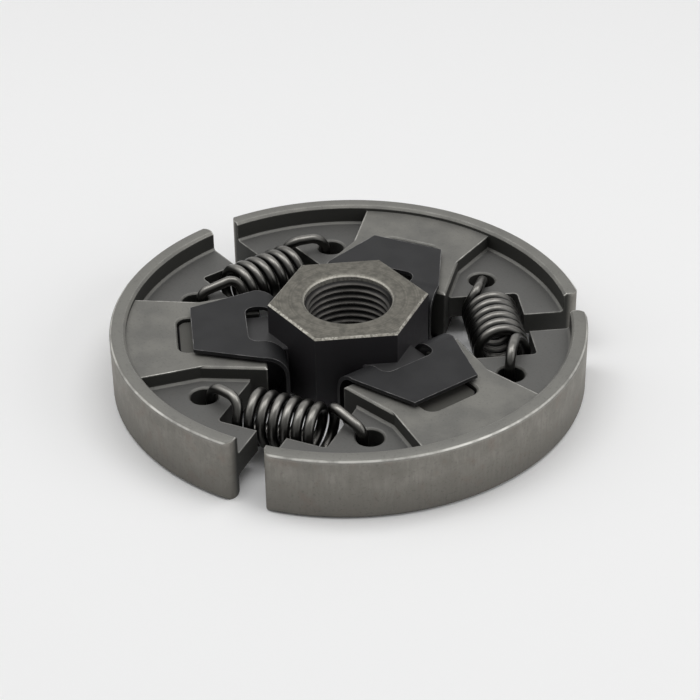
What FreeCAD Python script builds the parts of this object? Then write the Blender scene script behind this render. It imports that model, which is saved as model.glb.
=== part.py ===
"""Three-shoe centrifugal clutch for a chainsaw.

A hexagonal hub screws onto the crankshaft and carries three radial arms. A friction shoe slides
on each arm, three extension springs hook the shoes together, and a folded sheet retainer
on each arm keeps its shoe from sliding off sideways.

Units are millimetres. The clutch axis is +Z and the shoes stand on the plane z = 0.
The first arm points along +X.
"""
import FreeCAD, Part
import math
import os

import Sketcher

SHOE_COUNT = 3
SHOE_STEP = 360.0 / SHOE_COUNT
GAP_TURN = SHOE_STEP / 2
HEX_SIDES = 6
WIRE_SIDES = 6
COIL_STEPS = 14
BEND_STEPS = 4

# Each row is a name, a size in millimetres or degrees, and what it measures.
SIZES = [
    ("shoe_outer_radius", 32.5, "friction face of the shoes"),
    ("rim_wall", 2.2, "radial thickness of the rim"),
    ("rim_height", 9.0, "width of the friction face"),
    ("rim_edge_bevel", 0.35, "broken edges of the rim"),
    ("rim_root_bevel", 0.3, "slope between the web and the rim"),
    ("shoe_gap", 4.2, "gap between neighbouring shoes"),
    ("shoe_end_round", 1.4, "rounding of the friction face at its ends"),
    ("web_thickness", 3.2, "thin web beside the land"),
    ("web_inner_radius", 14.5, "where the web ends inside the land"),
    ("land_height", 7.4, "thick middle block of a shoe"),
    ("land_rim_width", 19.6, "width of the land at the rim"),
    ("land_hole_wall", 1.9, "web left between a hook hole and the land's waist"),
    ("land_waist_radius", 20.7, "distance of the waist from the clutch axis"),
    ("land_inner_width", 19.0, "width of the land at its inner end"),
    ("land_leg_clearance", 2.5, "room between the land and the retainer's legs"),
    ("land_chamfer", 0.25, "broken edges of the land"),
    ("land_root_bevel", 0.3, "slope between the web and the land"),
    ("hook_hole_diameter", 3.7, "hole for a spring hook"),
    ("hook_hole_wall", 2.3, "web left between the spring notch and a hook hole"),
    ("hook_hole_chamfer", 0.25, "broken edge of a hook hole"),
    ("notch_coil_clearance", 0.4, "room between the coil and the notch's outer wall"),
    ("notch_end_room", 1.4, "room between the coil's end and the notch's end"),
    ("notch_corner_round", 0.6, "rounding in the notch's corners"),
    ("slot_side_clearance", 0.12, "play of the arm in its slot, each side"),
    ("slot_end_clearance", 0.12, "play beyond the arm's end when the shoe rests"),
    ("slot_corner_round", 1.4, "rounding in the slot's corners"),
    ("hex_across_flats", 19.0, "wrench size of the hub"),
    ("hub_rise", 3.2, "hub top above the rim"),
    ("hub_foot", 0.3, "hub bottom below the arms"),
    ("hex_chamfer", 0.25, "broken edges of the hexagon"),
    ("thread_diameter", 12.0, "major diameter of the crank thread"),
    ("thread_mouth_chamfer", 0.35, "countersink at both thread mouths"),
    ("arm_width", 8.2, "width of an arm"),
    ("arm_length", 23.2, "arm end from the clutch axis"),
    ("arm_drop", 0.4, "how much thinner an arm is than the land"),
    ("arm_chamfer", 0.2, "broken edges of an arm"),
    ("arm_seat_clearance", 0.05, "arm above the retainer's lower plate"),
    ("clip_sheet", 0.5, "sheet thickness of a retainer"),
    ("clip_land_clearance", 0.35, "retainer plates from the land, each side"),
    ("clip_lift", 0.1, "retainer's middle above the shoe's middle"),
    ("clip_setback", 1.85, "retainer's outer edge short of the arm's end"),
    ("clip_outer_width", 10.4, "width of a plate at its outer edge"),
    ("clip_fold_width", 16.8, "width of a plate at its folds"),
    ("clip_fold_radius", 3.4, "outside radius of a fold"),
    ("clip_arm_clearance", 0.15, "legs from the arm's sides"),
    ("clip_hub_clearance", 0.33, "legs from the hub's flats"),
    ("clip_notch_reach", 2.9, "retainer's notch beyond the hub's corner"),
    ("clip_notch_round", 1.4, "rounding in the retainer's notch"),
    ("wire_diameter", 1.4, "spring wire"),
    ("coil_mean_diameter", 6.4, "middle of the wire across the coil"),
    ("coil_length", 11.2, "from the first to the last turn, middle of the wire"),
    ("coil_turns", 7.0, "turns of the coil, hooks' shares included"),
    ("spring_radius", 20.4, "spring axis from the clutch axis"),
    ("spring_lift", 0.4, "spring axis above the shoe's middle"),
    ("outer_hook_angle", 30.0, "where the outer hook leaves the coil"),
    ("outer_hook_rise", 0.2, "top of the outer hook above the coil's top turn"),
    ("outer_hook_bend", 2.3, "bend radius of the outer hook"),
    ("inner_hook_angle", 150.0, "where the inner hook leaves the coil"),
    ("inner_hook_run", 2.2, "straight length before the inner hook's first bend"),
    ("inner_hook_bend", 1.5, "bend radius of the inner hook"),
    ("hook_web_clearance", 0.1, "inner hook above the web"),
    ("hook_seat_clearance", 0.12, "hook from the wall of its hole"),
    ("hook_tail", 1.2, "hook's end below the web"),
]

# Lengths that several pieces share, worked out from the sizes above.
MIDDLE = "(Sizes.rim_height / 2)"
RIM_INNER = "(Sizes.shoe_outer_radius - Sizes.rim_wall)"
WEB_LOW = f"({MIDDLE} - Sizes.web_thickness / 2)"
WEB_TOP = f"({MIDDLE} + Sizes.web_thickness / 2)"
LAND_LOW = f"({MIDDLE} - Sizes.land_height / 2)"
LAND_TOP = f"({MIDDLE} + Sizes.land_height / 2)"
HEX_CORNER = "(Sizes.hex_across_flats / 2 / cos(30 deg))"
CLIP_INSIDE = "(Sizes.land_height + 2 * Sizes.clip_land_clearance)"
CLIP_LOW = f"({MIDDLE} + Sizes.clip_lift - {CLIP_INSIDE} / 2 - Sizes.clip_sheet)"
CLIP_TOP = f"({CLIP_LOW} + {CLIP_INSIDE} + 2 * Sizes.clip_sheet)"
CLIP_NOTCH_HALF = "(Sizes.arm_width / 2 + Sizes.clip_arm_clearance)"
LEG_INNER = f"({HEX_CORNER} - {CLIP_NOTCH_HALF} * tan(30 deg) + Sizes.clip_hub_clearance)"
LAND_INNER = f"({LEG_INNER} + Sizes.clip_sheet + Sizes.land_leg_clearance)"
ARM_LOW = f"({CLIP_LOW} + Sizes.clip_sheet + Sizes.arm_seat_clearance)"
ARM_THICKNESS = "(Sizes.land_height - Sizes.arm_drop)"
HUB_LOW = f"({ARM_LOW} - Sizes.hub_foot)"
HUB_TOP = "(Sizes.rim_height + Sizes.hub_rise)"
NOTCH_HALF = "(Sizes.coil_length / 2 + Sizes.wire_diameter / 2 + Sizes.notch_end_room)"
NOTCH_RADIUS = (
    "(Sizes.spring_radius + Sizes.coil_mean_diameter / 2 + Sizes.wire_diameter / 2"
    " + Sizes.notch_coil_clearance)"
)
HOOK_HOLE_SPREAD = f"({NOTCH_HALF} + Sizes.hook_hole_wall + Sizes.hook_hole_diameter / 2)"
HOOK_HOLE_ALONG = f"(Sizes.spring_radius * cos(60 deg) + {HOOK_HOLE_SPREAD} * sin(60 deg))"
HOOK_HOLE_ACROSS = f"(Sizes.spring_radius * sin(60 deg) - {HOOK_HOLE_SPREAD} * cos(60 deg))"
WAIST_HALF = f"({HOOK_HOLE_ACROSS} - Sizes.hook_hole_diameter / 2 - Sizes.land_hole_wall)"

document = FreeCAD.newDocument("Clutch")
sheet = document.addObject("Spreadsheet::Sheet", "Sizes")


def fill_sheet():
    """Writes every driving size into the sheet, one row each."""
    for row, (name, value, meaning) in enumerate(SIZES, start=1):
        sheet.set(f"A{row}", meaning)
        sheet.set(f"B{row}", str(value))
        sheet.setAlias(f"B{row}", name)
    document.recompute()


def value_of(expression):
    """The number that an expression on the sheet stands for."""
    result = sheet.evalExpression(expression)
    return float(getattr(result, "Value", result))


def origin_plane(body, role):
    """The body's own origin plane with the given role."""
    return next(item for item in body.Origin.OriginFeatures if item.Role == role)


def new_sketch(body, name, role="XY_Plane", height=None, turn=0.0):
    """A sketch on one of the body's planes, lifted to a height and turned about its normal."""
    sketch = body.newObject("Sketcher::SketchObject", name)
    sketch.AttachmentSupport = (origin_plane(body, role), [""])
    sketch.MapMode = "FlatFace"
    turned = FreeCAD.Rotation(FreeCAD.Vector(0, 0, 1), turn)
    sketch.AttachmentOffset = FreeCAD.Placement(FreeCAD.Vector(), turned)
    if height is not None:
        sketch.setExpression("AttachmentOffset.Base.z", height)
    return sketch


def bind(sketch, constraint, expression):
    """Adds a dimension to a sketch and ties it to an expression on the sheet."""
    index = sketch.addConstraint(constraint)
    sketch.setExpression(f"Constraints[{index}]", expression)


def pin_point(sketch, geometry, end, corner):
    """Holds one point of a sketch at a corner given by two expressions."""
    for kind, line, expression in zip(("DistanceX", "DistanceY"), (-2, -1), corner):
        value = value_of(expression)
        if abs(value) < 1e-9:
            sketch.addConstraint(Sketcher.Constraint("PointOnObject", geometry, end, line))
        else:
            bind(sketch, Sketcher.Constraint(kind, -1, 1, geometry, end, value), expression)


def arc_between(start, end, radius, bulge):
    """The short arc from start to end, its centre left (+1) or right (-1) of that direction."""
    chord = end - start
    side = FreeCAD.Vector(-chord.y, chord.x, 0).normalize() * bulge
    reach = math.sqrt(max(radius**2 - chord.Length**2 / 4, 0))
    centre = (start + end) * 0.5 + side * reach
    first, last = (start, end) if bulge > 0 else (end, start)
    circle = Part.Circle(centre, FreeCAD.Vector(0, 0, 1), radius)
    angles = [math.atan2(point.y - centre.y, point.x - centre.x) for point in (first, last)]
    return Part.ArcOfCircle(circle, *angles)


def draw_outline(sketch, corners, arcs=None):
    """Draws a closed outline through the corners.

    A corner is a pair of expressions. The key of an arc is the corner that it starts from, and
    its value is its radius, as an expression, and which side its centre lies on.
    """
    arcs = arcs or {}
    points = [FreeCAD.Vector(value_of(x), value_of(y), 0) for x, y in corners]
    ends = []
    for index, start in enumerate(points):
        end = points[(index + 1) % len(points)]
        if index in arcs:
            radius, bulge = arcs[index]
            curve = arc_between(start, end, value_of(radius), bulge)
            ends.append((sketch.addGeometry(curve), (1, 2) if bulge > 0 else (2, 1)))
        else:
            ends.append((sketch.addGeometry(Part.LineSegment(start, end)), (1, 2)))
    for index, (geometry, (_, last)) in enumerate(ends):
        follower, (first, _) = ends[(index + 1) % len(ends)]
        sketch.addConstraint(Sketcher.Constraint("Coincident", geometry, last, follower, first))
    for (geometry, (first, _)), corner in zip(ends, corners):
        pin_point(sketch, geometry, first, corner)
    for index, (radius, _) in arcs.items():
        geometry = ends[index][0]
        bind(sketch, Sketcher.Constraint("Radius", geometry, value_of(radius)), radius)


def draw_circle(sketch, centre, radius):
    """Draws a circle whose centre is a pair of expressions."""
    middle = FreeCAD.Vector(value_of(centre[0]), value_of(centre[1]), 0)
    circle = Part.Circle(middle, FreeCAD.Vector(0, 0, 1), value_of(radius))
    geometry = sketch.addGeometry(circle)
    pin_point(sketch, geometry, 3, centre)
    bind(sketch, Sketcher.Constraint("Radius", geometry, value_of(radius)), radius)


def pad(body, sketch, name, length, both_sides=False):
    """Raises a sketch by a length, or by half of it to each side."""
    feature = body.newObject("PartDesign::Pad", name)
    feature.Profile = sketch
    feature.setExpression("Length", length)
    feature.Midplane = both_sides
    document.recompute()
    return feature


def cut_through(body, sketch, name):
    """Cuts a sketch through the whole body, both ways."""
    before = body.Shape.Volume
    feature = body.newObject("PartDesign::Pocket", name)
    feature.Profile = sketch
    feature.Type = "ThroughAll"
    feature.Midplane = True
    document.recompute()
    if not feature.Shape.Volume < before:
        raise RuntimeError(f"{name} cuts nothing")
    return feature


def mirror_across(body, features, name):
    """Repeats features on the other side of the first arm."""
    mirror = body.newObject("PartDesign::Mirrored", name)
    mirror.Originals = features
    mirror.MirrorPlane = (origin_plane(body, "XZ_Plane"), [""])
    body.Tip = mirror
    document.recompute()
    return mirror


def edges_where(shape, test):
    """Names of the edges whose two ends and middle all pass a test."""
    names = []
    for number, edge in enumerate(shape.Edges, start=1):
        low, high = edge.ParameterRange
        points = [edge.valueAt(low + (high - low) * share) for share in (0, 0.5, 1)]
        if all(test(point) for point in points):
            names.append(f"Edge{number}")
    return names


def break_edges(body, base, name, size, test):
    """Chamfers the edges of a feature that pass a test."""
    feature = body.newObject("PartDesign::Chamfer", name)
    feature.Base = (base, edges_where(base.Shape, test))
    feature.setExpression("Size", size)
    document.recompute()
    return feature


def at_heights(point, heights):
    """Whether a point lies at one of the heights."""
    return any(abs(point.z - height) < 1e-6 for height in heights)


def reach_of(point):
    """Distance of a point from the clutch axis."""
    return math.hypot(point.x, point.y)


def turned(number, extra=0.0):
    """Placement of the numbered arm's pieces, turned about the clutch axis."""
    angle = number * SHOE_STEP + extra
    return FreeCAD.Placement(FreeCAD.Vector(), FreeCAD.Rotation(FreeCAD.Vector(0, 0, 1), angle))


def rim_profile(body):
    """Section of the rim with its web, in the plane of the first arm."""
    sketch = new_sketch(body, "RimSection", "XZ_Plane")
    outer = "Sizes.shoe_outer_radius"
    top = "Sizes.rim_height"
    edge = "Sizes.rim_edge_bevel"
    root = "Sizes.rim_root_bevel"
    corners = [
        ("Sizes.web_inner_radius", WEB_LOW),
        (f"{RIM_INNER} - {root}", WEB_LOW),
        (RIM_INNER, f"{WEB_LOW} - {root}"),
        (RIM_INNER, edge),
        (f"{RIM_INNER} + {edge}", "0"),
        (f"{outer} - {edge}", "0"),
        (outer, edge),
        (outer, f"{top} - {edge}"),
        (f"{outer} - {edge}", top),
        (f"{RIM_INNER} + {edge}", top),
        (RIM_INNER, f"{top} - {edge}"),
        (RIM_INNER, f"{WEB_TOP} + {root}"),
        (f"{RIM_INNER} - {root}", WEB_TOP),
        ("Sizes.web_inner_radius", WEB_TOP),
    ]
    draw_outline(sketch, corners)
    return sketch


def land_outline(body):
    """Plan of the thick middle block: waisted, wider again at its inner end."""
    sketch = new_sketch(body, "LandPlan", height=LAND_LOW)
    seat = f"({RIM_INNER} + Sizes.rim_wall / 2)"
    half_rim = "Sizes.land_rim_width / 2"
    start = f"sqrt({seat} ^ 2 - ({half_rim}) ^ 2)"
    corners = [
        (start, f"-{half_rim}"),
        (start, half_rim),
        ("Sizes.land_waist_radius", WAIST_HALF),
        (LAND_INNER, "Sizes.land_inner_width / 2"),
        (LAND_INNER, "-Sizes.land_inner_width / 2"),
        ("Sizes.land_waist_radius", f"-{WAIST_HALF}"),
    ]
    draw_outline(sketch, corners, {0: (seat, 1)})
    return sketch


def tongue_outline(sketch, inner, outer, half, corner):
    """A straight slot or arm along +X with two rounded corners at its outer end."""
    corners = [
        (inner, f"-{half}"),
        (f"{outer} - {corner}", f"-{half}"),
        (outer, f"-{half} + {corner}"),
        (outer, f"{half} - {corner}"),
        (f"{outer} - {corner}", half),
        (inner, half),
    ]
    draw_outline(sketch, corners, {1: (corner, 1), 3: (corner, 1)})


def gap_outline(body):
    """Half of the gap to the next shoe, with the spring notch; +X runs along the gap."""
    sketch = new_sketch(body, "GapPlan", turn=GAP_TURN)
    half_gap = "Sizes.shoe_gap / 2"
    end = "Sizes.shoe_end_round"
    corner = "Sizes.notch_corner_round"
    drop = f"({half_gap} + {end})"
    ring = f"(Sizes.shoe_outer_radius - {end})"
    centre = f"sqrt({ring} ^ 2 - {drop} ^ 2)"
    grow = f"(Sizes.shoe_outer_radius / {ring})"
    outside = "(Sizes.shoe_outer_radius + Sizes.rim_wall)"
    corners = [
        ("0", f"-{NOTCH_HALF}"),
        (f"{NOTCH_RADIUS} - {corner}", f"-{NOTCH_HALF}"),
        (NOTCH_RADIUS, f"-{NOTCH_HALF} + {corner}"),
        (NOTCH_RADIUS, f"-{half_gap}"),
        (centre, f"-{half_gap}"),
        (f"{centre} * {grow}", f"-{drop} * {grow}"),
        (outside, f"-{drop} * {grow}"),
        (outside, "Sizes.shoe_gap"),
        ("0", "Sizes.shoe_gap"),
    ]
    draw_outline(sketch, corners, {1: (corner, 1), 4: (end, -1)})
    return sketch


def on_land_flank(point):
    """Whether a point lies on one of the land's two flanks, as seen from above."""
    half_rim = value_of("Sizes.land_rim_width / 2")
    seat = value_of(f"{RIM_INNER} + Sizes.rim_wall / 2")
    corners = [
        FreeCAD.Vector(math.sqrt(seat**2 - half_rim**2), half_rim, 0),
        FreeCAD.Vector(value_of("Sizes.land_waist_radius"), value_of(WAIST_HALF), 0),
        FreeCAD.Vector(value_of(LAND_INNER), value_of("Sizes.land_inner_width / 2"), 0),
    ]
    spot = FreeCAD.Vector(point.x, abs(point.y), 0)
    return any(
        abs((end - start).normalize().cross(spot - start).z) < 1e-6
        for start, end in zip(corners, corners[1:])
    )


def build_shoe(number):
    """One friction shoe: rim, web and land, slotted for its arm and notched for the springs."""
    name = f"shoe_{number + 1}"
    body = document.addObject("PartDesign::Body", name)
    body.Label = name
    rim = body.newObject("PartDesign::Revolution", "Rim")
    rim.Profile = rim_profile(body)
    rim.ReferenceAxis = (rim.Profile[0], ["V_Axis"])
    rim.Angle = SHOE_STEP
    rim.Midplane = True
    document.recompute()
    gap = cut_through(body, gap_outline(body), "Gap")
    mirror_across(body, [gap], "OtherGap")
    land = pad(body, land_outline(body), "Land", "Sizes.land_height")
    web_heights = (value_of(WEB_LOW), value_of(WEB_TOP))
    break_edges(
        body, land, "LandRoots", "Sizes.land_root_bevel",
        lambda point: at_heights(point, web_heights) and on_land_flank(point),
    )
    slot = new_sketch(body, "SlotPlan")
    half = "(Sizes.arm_width / 2 + Sizes.slot_side_clearance)"
    outer = "(Sizes.arm_length + Sizes.slot_end_clearance)"
    tongue_outline(slot, "0", outer, half, "Sizes.slot_corner_round")
    cut_through(body, slot, "Slot")
    holes = new_sketch(body, "HookHolePlan", turn=GAP_TURN)
    draw_circle(holes, ("Sizes.spring_radius", f"-{HOOK_HOLE_SPREAD}"), "Sizes.hook_hole_diameter / 2")
    hook_hole = cut_through(body, holes, "HookHole")
    mirror = mirror_across(body, [hook_hole], "OtherHole")
    land_heights = (value_of(LAND_LOW), value_of(LAND_TOP))
    inside_rim = value_of(RIM_INNER) - value_of("Sizes.rim_root_bevel")
    land = break_edges(
        body, mirror, "LandEdges", "Sizes.land_chamfer",
        lambda point: at_heights(point, land_heights) and reach_of(point) < inside_rim,
    )
    along = value_of(HOOK_HOLE_ALONG)
    across = value_of(HOOK_HOLE_ACROSS)
    hole_radius = value_of("Sizes.hook_hole_diameter / 2")

    def on_hole_rim(point):
        """Whether a point lies on the edge of one of the two hook holes."""
        away = math.hypot(point.x - along, abs(point.y) - across)
        return at_heights(point, web_heights) and abs(away - hole_radius) < 1e-6

    break_edges(body, land, "HoleEdges", "Sizes.hook_hole_chamfer", on_hole_rim)
    body.Placement = turned(number)
    return body


def build_carrier():
    """The hexagonal hub with its threaded bore and three arms."""
    body = document.addObject("PartDesign::Body", "carrier")
    body.Label = "carrier"
    hexagon = new_sketch(body, "HexPlan", height=HUB_LOW)
    corners = []
    for side in range(HEX_SIDES):
        angle = 360 // HEX_SIDES * side
        corners.append((f"{HEX_CORNER} * cos({angle} deg)", f"{HEX_CORNER} * sin({angle} deg)"))
    draw_outline(hexagon, corners)
    pad(body, hexagon, "Hub", f"{HUB_TOP} - {HUB_LOW}")
    plan = new_sketch(body, "ArmPlan", height=ARM_LOW)
    corner = "(Sizes.slot_corner_round - Sizes.slot_side_clearance)"
    tongue_outline(plan, "0", "Sizes.arm_length", "Sizes.arm_width / 2", corner)
    arm = pad(body, plan, "Arm", ARM_THICKNESS)
    arms = body.newObject("PartDesign::PolarPattern", "Arms")
    arms.Originals = [arm]
    arms.Axis = (next(item for item in body.Origin.OriginFeatures if item.Role == "Z_Axis"), [""])
    arms.Angle = 360
    arms.Occurrences = SHOE_COUNT
    body.Tip = arms
    document.recompute()
    bore = new_sketch(body, "BorePlan")
    draw_circle(bore, ("0", "0"), "Sizes.thread_diameter / 2")
    bored = cut_through(body, bore, "Bore")
    hub_heights = (value_of(HUB_LOW), value_of(HUB_TOP))
    thread = value_of("Sizes.thread_diameter / 2")
    mouths = break_edges(
        body, bored, "ThreadMouths", "Sizes.thread_mouth_chamfer",
        lambda point: at_heights(point, hub_heights) and abs(reach_of(point) - thread) < 1e-6,
    )
    flat = value_of("Sizes.hex_across_flats / 2")
    hexed = break_edges(
        body, mouths, "HexEdges", "Sizes.hex_chamfer",
        lambda point: at_heights(point, hub_heights) and reach_of(point) > flat - 1e-6,
    )
    arm_heights = (value_of(ARM_LOW), value_of(f"{ARM_LOW} + {ARM_THICKNESS}"))
    half = value_of("Sizes.arm_width / 2")
    break_edges(
        body, hexed, "ArmEdges", "Sizes.arm_chamfer",
        lambda point: at_heights(point, arm_heights) and on_arm_outline(point, half),
    )
    return body


def on_arm_outline(point, half):
    """Whether a point lies on the side or the end of an arm, and not on the hub."""
    corner = value_of(HEX_CORNER)
    root = corner - half * math.tan(math.radians(30))
    angle = math.atan2(point.y, point.x)
    step = math.radians(SHOE_STEP)
    local = angle - round(angle / step) * step
    along = reach_of(point) * math.cos(local)
    across = abs(reach_of(point) * math.sin(local))
    end = value_of("Sizes.arm_length") - value_of("Sizes.slot_corner_round")
    return along > end - 1e-6 or (across > half - 1e-6 and along > root - 1e-6)


def build_retainer(number):
    """One folded retainer: two plates joined by two legs that straddle the arm."""
    name = f"retainer_{number + 1}"
    body = document.addObject("PartDesign::Body", name)
    body.Label = name
    section = new_sketch(body, "FoldSection", "XZ_Plane")
    outer = "(Sizes.arm_length - Sizes.clip_setback)"
    fold = "Sizes.clip_fold_radius"
    tight = "(Sizes.clip_fold_radius - Sizes.clip_sheet)"
    sheet_wall = "Sizes.clip_sheet"
    bend = f"({LEG_INNER} + {fold})"
    corners = [
        (outer, CLIP_TOP),
        (bend, CLIP_TOP),
        (LEG_INNER, f"{CLIP_TOP} - {fold}"),
        (LEG_INNER, f"{CLIP_LOW} + {fold}"),
        (bend, CLIP_LOW),
        (outer, CLIP_LOW),
        (outer, f"{CLIP_LOW} + {sheet_wall}"),
        (bend, f"{CLIP_LOW} + {sheet_wall}"),
        (f"{LEG_INNER} + {sheet_wall}", f"{CLIP_LOW} + {fold}"),
        (f"{LEG_INNER} + {sheet_wall}", f"{CLIP_TOP} - {fold}"),
        (bend, f"{CLIP_TOP} - {sheet_wall}"),
        (outer, f"{CLIP_TOP} - {sheet_wall}"),
    ]
    draw_outline(section, corners, {1: (fold, 1), 3: (fold, 1), 7: (tight, -1), 9: (tight, -1)})
    pad(body, section, "Fold", "Sizes.clip_fold_width", both_sides=True)
    flare = new_sketch(body, "FlarePlan")
    past = f"({outer} + {sheet_wall})"
    wide = "(Sizes.clip_fold_width / 2)"
    slope = f"(({wide} - Sizes.clip_outer_width / 2) / ({outer} - {bend}))"
    corners = [
        (bend, wide),
        (past, f"Sizes.clip_outer_width / 2 - {slope} * {sheet_wall}"),
        (past, f"{wide} + {sheet_wall}"),
        (bend, f"{wide} + {sheet_wall}"),
    ]
    draw_outline(flare, corners)
    flared = cut_through(body, flare, "Flare")
    mirror_across(body, [flared], "OtherFlare")
    notch = new_sketch(body, "NotchPlan")
    reach = f"({HEX_CORNER} + Sizes.clip_notch_reach)"
    tongue_outline(notch, "0", reach, CLIP_NOTCH_HALF, "Sizes.clip_notch_round")
    cut_through(body, notch, "Notch")
    body.Placement = turned(number)
    return body


def rounded_path(points, radii):
    """Points along straight runs joined by tangent bends, one radius for each inner point."""
    path = [points[0]]
    for before, corner, after, radius in zip(points, points[1:], points[2:], radii):
        back = (before - corner).normalize()
        ahead = (after - corner).normalize()
        half = back.getAngle(ahead) / 2
        centre = corner + (back + ahead).normalize() * (radius / math.sin(half))
        first = corner + back * (radius / math.tan(half))
        spoke = first - centre
        turn = FreeCAD.Rotation(spoke.cross(back * -1), math.degrees(math.pi - 2 * half) / BEND_STEPS)
        for _ in range(BEND_STEPS + 1):
            path.append(centre + spoke)
            spoke = turn.multVec(spoke)
    path.append(points[-1])
    return path


def spring_shape():
    """One extension spring in the gap's frame: +X along the gap, the coil's axis along Y.

    The wire is swept along short straight runs, which keeps the coil's faces few and flat,
    and its section has as much area as the round wire.
    """
    radius = value_of("Sizes.coil_mean_diameter / 2")
    length = value_of("Sizes.coil_length")
    wire = value_of("Sizes.wire_diameter")
    axis_reach = value_of("Sizes.spring_radius")
    middle = value_of(f"{MIDDLE} + Sizes.spring_lift")
    outer_angle = math.radians(value_of("Sizes.outer_hook_angle"))
    inner_angle = math.radians(value_of("Sizes.inner_hook_angle"))
    sweep = 2 * math.pi * value_of("Sizes.coil_turns") - inner_angle + outer_angle
    slope = length / sweep / radius

    def coil_point(share):
        """A point of the coil's middle line, from the inner hook (0) to the outer hook (1)."""
        angle = inner_angle + sweep * share
        side = radius * math.cos(angle)
        rise = radius * math.sin(angle)
        return FreeCAD.Vector(axis_reach + side, length * (0.5 - share), middle + rise)

    def coil_heading(share):
        """Direction of the wire at the same place, towards the outer hook."""
        angle = inner_angle + sweep * share
        return FreeCAD.Vector(-math.sin(angle), -slope, math.cos(angle)).normalize()

    hole_play = value_of("Sizes.hook_hole_diameter / 2") - wire / 2
    hook_along = value_of(HOOK_HOLE_SPREAD) - hole_play + value_of("Sizes.hook_seat_clearance")
    tail = value_of(WEB_LOW) - value_of("Sizes.hook_tail")
    arch = middle + radius + value_of("Sizes.outer_hook_rise")
    outer_run = (arch - coil_point(1).z) / coil_heading(1).z
    outer_hook = [
        coil_point(1),
        coil_point(1) + coil_heading(1) * outer_run,
        FreeCAD.Vector(axis_reach, -hook_along, arch),
        FreeCAD.Vector(axis_reach, -hook_along, tail),
    ]
    inner_top = value_of(WEB_TOP) + wire / 2 + value_of("Sizes.hook_web_clearance")
    inner_hook = [
        FreeCAD.Vector(axis_reach, hook_along, tail),
        FreeCAD.Vector(axis_reach, hook_along, inner_top),
        coil_point(0) - coil_heading(0) * value_of("Sizes.inner_hook_run"),
        coil_point(0),
    ]
    steps = round(COIL_STEPS * sweep / (2 * math.pi))
    path = rounded_path(inner_hook, [value_of("Sizes.inner_hook_bend")] * 2)
    path.extend(coil_point(step / steps) for step in range(1, steps))
    path.extend(rounded_path(outer_hook, [value_of("Sizes.outer_hook_bend")] * 2))
    side_angle = 2 * math.pi / WIRE_SIDES
    same_area = math.sqrt(side_angle / math.sin(side_angle))
    corners = []
    for side in range(WIRE_SIDES + 1):
        spread = FreeCAD.Vector(math.cos(side * side_angle), math.sin(side * side_angle), 0)
        corners.append(path[0] + spread * (wire / 2 * same_area))
    section = Part.makePolygon(corners)
    mitred = 1
    return Part.makePolygon(path).makePipeShell([section], True, False, mitred)


def build_springs():
    """The three springs, one across each gap between shoes."""
    shape = spring_shape()
    springs = []
    for number in range(SHOE_COUNT):
        spring = document.addObject("Part::Feature", f"spring_{number + 1}")
        spring.Label = f"spring_{number + 1}"
        spring.Shape = shape
        spring.Placement = turned(number, GAP_TURN)
        springs.append(spring)
    return springs


def write_parts(pieces):
    """Checks every object and every piece, then writes one file for each piece."""
    failed = [item.Name for item in document.Objects if {"Invalid", "Error"} & set(item.State)]
    for piece in pieces:
        shape = piece.Shape
        if shape.isNull() or not shape.isValid() or len(shape.Solids) != 1:
            failed.append(piece.Label)
    if failed:
        raise RuntimeError(f"failed: {failed}")
    os.makedirs("parts", exist_ok=True)
    for piece in pieces:
        piece.Shape.exportStep(f"parts/{piece.Label}.step")
        print(piece.Label, round(piece.Shape.Volume, 2), piece.Shape.BoundBox)


fill_sheet()
clutch = [build_carrier()]
for arm_number in range(SHOE_COUNT):
    clutch.append(build_shoe(arm_number))
    clutch.append(build_retainer(arm_number))
clutch.extend(build_springs())
document.recompute()
write_parts(clutch)
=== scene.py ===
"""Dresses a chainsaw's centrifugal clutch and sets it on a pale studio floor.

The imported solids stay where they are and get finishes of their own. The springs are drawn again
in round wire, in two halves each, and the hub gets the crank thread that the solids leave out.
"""

from __future__ import annotations

import logging
import math
from dataclasses import dataclass
from enum import Enum
from typing import Any, Optional, Sequence, Union

import bmesh
import bpy
from mathutils import Matrix, Quaternion, Vector

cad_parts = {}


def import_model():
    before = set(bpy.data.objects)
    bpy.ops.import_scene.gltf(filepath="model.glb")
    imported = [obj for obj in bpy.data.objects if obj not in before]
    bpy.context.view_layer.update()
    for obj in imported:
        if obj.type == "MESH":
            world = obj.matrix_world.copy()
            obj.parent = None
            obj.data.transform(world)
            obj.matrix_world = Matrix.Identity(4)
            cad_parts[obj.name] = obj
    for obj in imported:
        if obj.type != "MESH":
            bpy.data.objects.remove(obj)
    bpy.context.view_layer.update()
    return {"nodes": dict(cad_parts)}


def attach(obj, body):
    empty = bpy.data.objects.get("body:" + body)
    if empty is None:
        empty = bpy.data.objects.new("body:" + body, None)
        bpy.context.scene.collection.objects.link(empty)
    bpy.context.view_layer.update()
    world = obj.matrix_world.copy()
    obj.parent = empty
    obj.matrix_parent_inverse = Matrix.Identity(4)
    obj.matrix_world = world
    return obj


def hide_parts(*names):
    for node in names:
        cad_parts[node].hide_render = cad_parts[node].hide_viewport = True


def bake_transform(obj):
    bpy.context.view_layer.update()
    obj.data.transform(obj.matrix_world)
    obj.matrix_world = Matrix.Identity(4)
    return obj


LOG = logging.getLogger("clutch")

MM = 0.001
SHOES = 3
SHOE_STEP = 360.0 / SHOES
NOISE_MEAN = 0.5

Colour = tuple[float, float, float]
Point = tuple[float, float, float]
# Where a mask starts and where it is full, or a value without and with a mask.
Span = tuple[float, float]
Number = Union["Socket", float]


class Facing(Enum):
    """Which way a face looks, by the upright part of its normal."""

    FLAT = (0.95, 0.985)
    SLOPED = (0.25, 0.45)


class Half(Enum):
    """The halves of a spring, by the side of the gap that their hook lies on."""

    OUTER = -1.0
    INNER = 1.0


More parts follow.
